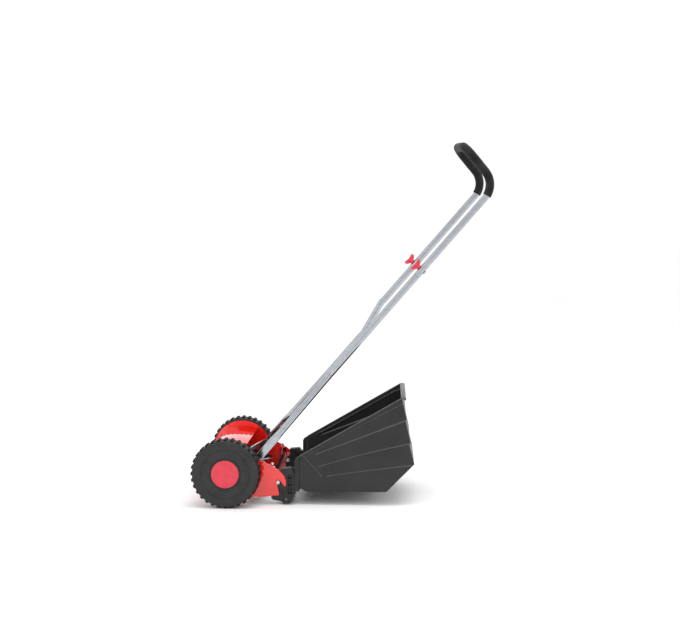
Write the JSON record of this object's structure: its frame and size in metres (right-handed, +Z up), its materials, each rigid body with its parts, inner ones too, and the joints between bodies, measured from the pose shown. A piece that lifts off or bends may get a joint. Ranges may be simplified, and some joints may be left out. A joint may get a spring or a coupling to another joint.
{
  "type": "reel mower",
  "caption": "Hand-pushed reel mower with lugged wheels, red pressed side plates, helical cutting reel, rear roller, sloping tube handle with foam grip, and an open grass catcher.",
  "frame": {"origin": "centre of the footprint, on the ground", "axes": "+X to the rear, towards the person pushing; +Y to the machine's right side; +Z up"},
  "size_m": [0.886, 0.4124, 1.0786],
  "materials": {
    "red_paint": "high gloss powder coat",
    "zinc": "bright zinc plated tube",
    "steel": "plated steel fasteners",
    "dark_steel": "black painted steel with ground edges",
    "wheel_plastic": "moulded dark grey plastic",
    "red_plastic": "satin moulded plastic",
    "black_plastic": "moulded black plastic",
    "catcher_plastic": "satin sheet plastic",
    "foam": "soft closed-cell foam",
    "bronze": "sintered bush"
  },
  "bodies": {
    "chassis": {"side_plate_left": "red_paint", "side_plate_right": "red_paint", "top_cover": "red_paint", "knife_bar": "dark_steel", "bed_knife": "steel", "lower_tube_left": "zinc", "lower_tube_right": "zinc", "middle_tube_left": "zinc", "middle_tube_right": "zinc", "upper_handle": "zinc", "foam_grip": "foam", "axle_stub_left": "steel", "reel_bearing_left": "bronze", "knife_screw_left": "steel", "handle_strap_left": "steel", "tube_screw_left": "steel", "handle_bolt_left": "steel", "axle_stub_right": "steel", "reel_bearing_right": "bronze", "knife_screw_right": "steel", "handle_strap_right": "steel", "tube_screw_right": "steel", "handle_bolt_right": "steel", "strap_bolt_left_upper": "steel", "strap_bolt_left_lower": "steel", "joint_screw_left_upper": "steel", "joint_screw_left_lower": "steel", "strap_bolt_right_upper": "steel", "strap_bolt_right_lower": "steel", "joint_screw_right_upper": "steel", "joint_screw_right_lower": "steel"},
    "left_wheel": {"wheel_left": "wheel_plastic", "hub_cap_left": "red_plastic"},
    "right_wheel": {"wheel_right": "wheel_plastic", "hub_cap_right": "red_plastic"},
    "left_pinion": {"drive_pinion_left": "dark_steel"},
    "right_pinion": {"drive_pinion_right": "dark_steel"},
    "reel": {"reel_shaft": "dark_steel", "reel_spider_left": "dark_steel", "reel_spider_centre": "dark_steel", "reel_spider_right": "dark_steel", "reel_blade_1": "dark_steel", "reel_blade_2": "dark_steel", "reel_blade_3": "dark_steel", "reel_blade_4": "dark_steel", "reel_blade_5": "dark_steel", "drive_pawl_left": "steel", "drive_pawl_right": "steel"},
    "roller_carriage": {"roller_bracket_left": "black_plastic", "roller_bracket_right": "black_plastic", "roller_rod": "steel", "height_bolt_left": "steel", "height_bolt_right": "steel"},
    "roller": {"roller": "black_plastic"},
    "catcher": {"catcher_tub": "catcher_plastic", "catcher_frame": "black_plastic"},
    "left_height_nut": {"height_nut_left": "steel"},
    "right_height_nut": {"height_nut_right": "steel"},
    "left_wing_nut": {"wing_nut_left": "red_plastic"},
    "right_wing_nut": {"wing_nut_right": "red_plastic"}
  },
  "joints": [
    {"name": "left_wheel_spin", "type": "hinge", "parent": "chassis", "child": "left_wheel", "pos_m": [-0.3406, -0.18, 0.1025], "axis": [0, -1, 0], "continuous": true},
    {"name": "right_wheel_spin", "type": "hinge", "parent": "chassis", "child": "right_wheel", "pos_m": [-0.3406, 0.18, 0.1025], "axis": [0, -1, 0], "continuous": true},
    {"name": "left_pinion_spin", "type": "hinge", "parent": "chassis", "child": "left_pinion", "pos_m": [-0.28494, -0.1695, 0.0845], "axis": [0, -1, 0], "continuous": true},
    {"name": "right_pinion_spin", "type": "hinge", "parent": "chassis", "child": "right_pinion", "pos_m": [-0.28494, 0.1695, 0.0845], "axis": [0, -1, 0], "continuous": true},
    {"name": "reel_spin", "type": "hinge", "parent": "chassis", "child": "reel", "pos_m": [-0.28494, 0, 0.0845], "axis": [0, -1, 0], "continuous": true},
    {"name": "height_slide", "type": "slide", "parent": "chassis", "child": "roller_carriage", "axis": [-0.1749, 0, 0.9846], "range_m": [-0.012, 0.004]},
    {"name": "roller_spin", "type": "hinge", "parent": "roller_carriage", "child": "roller", "pos_m": [-0.16661, 0, 0.0165], "axis": [0, -1, 0], "continuous": true},
    {"name": "catcher_tilt", "type": "hinge", "parent": "roller_carriage", "child": "catcher", "pos_m": [-0.1586, 0, 0.098], "axis": [0, -1, 0], "range_deg": [0, 25]},
    {"name": "left_height_nut_turn", "type": "hinge", "parent": "roller_carriage", "child": "left_height_nut", "pos_m": [-0.1906, -0.1407, 0.069], "axis": [0, 1, 0], "continuous": true},
    {"name": "right_height_nut_turn", "type": "hinge", "parent": "roller_carriage", "child": "right_height_nut", "pos_m": [-0.1906, 0.1407, 0.069], "axis": [0, -1, 0], "continuous": true},
    {"name": "left_wing_nut_turn", "type": "hinge", "parent": "chassis", "child": "left_wing_nut", "pos_m": [0.23294, -0.087, 0.69658], "axis": [-0.7508, -0.1097, 0.6513], "continuous": true},
    {"name": "right_wing_nut_turn", "type": "hinge", "parent": "chassis", "child": "right_wing_nut", "pos_m": [0.21851, 0.08595, 0.70909], "axis": [-0.7508, -0.1097, 0.6513], "continuous": true}
  ],
  "couplings": [
    {"joint": "left_pinion_spin", "follows": "left_wheel_spin", "ratio": 5.3333},
    {"joint": "reel_spin", "follows": "left_wheel_spin", "ratio": 5.3333},
    {"joint": "right_pinion_spin", "follows": "right_wheel_spin", "ratio": 5.3333}
  ]
}
